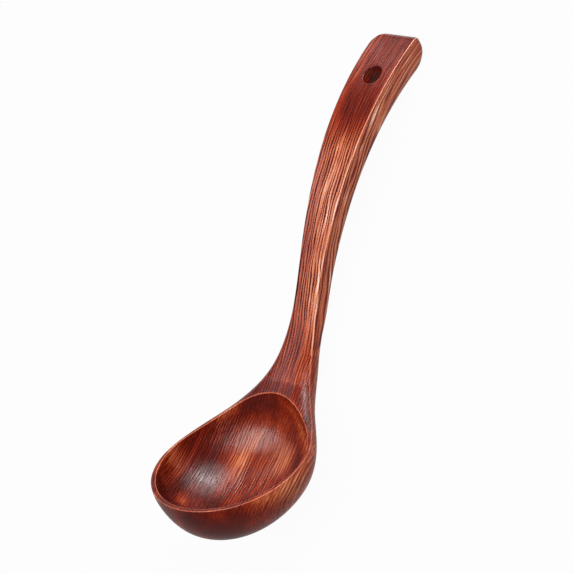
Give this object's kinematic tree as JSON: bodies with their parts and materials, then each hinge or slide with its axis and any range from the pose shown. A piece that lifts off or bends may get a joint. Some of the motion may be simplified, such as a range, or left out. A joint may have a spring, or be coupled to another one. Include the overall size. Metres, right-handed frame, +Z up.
{
  "type": "wooden soup ladle",
  "caption": "Wooden soup ladle: a deep round bowl that runs through a slim neck into a bent handle, which widens to a rounded end with a hanging hole.",
  "frame": {"origin": "on the table, under the middle of the ladle's box, with the ladle lying as it comes to rest on its bowl and its handle's end", "axes": "+X from the bowl towards the handle's end, +Y to the left of a hand that holds the handle, +Z up from the table"},
  "size_m": [0.2568, 0.08, 0.0601],
  "materials": {
    "lacquered_wood": "glossy clear lacquer over reddish-brown straight-grained wood",
    "dowel_wood": "bare pale hardwood"
  },
  "bodies": {
    "root": {"bowl": "lacquered_wood", "handle": "lacquered_wood", "neck_dowel_left": "dowel_wood", "neck_dowel_right": "dowel_wood"}
  },
  "joints": []
}
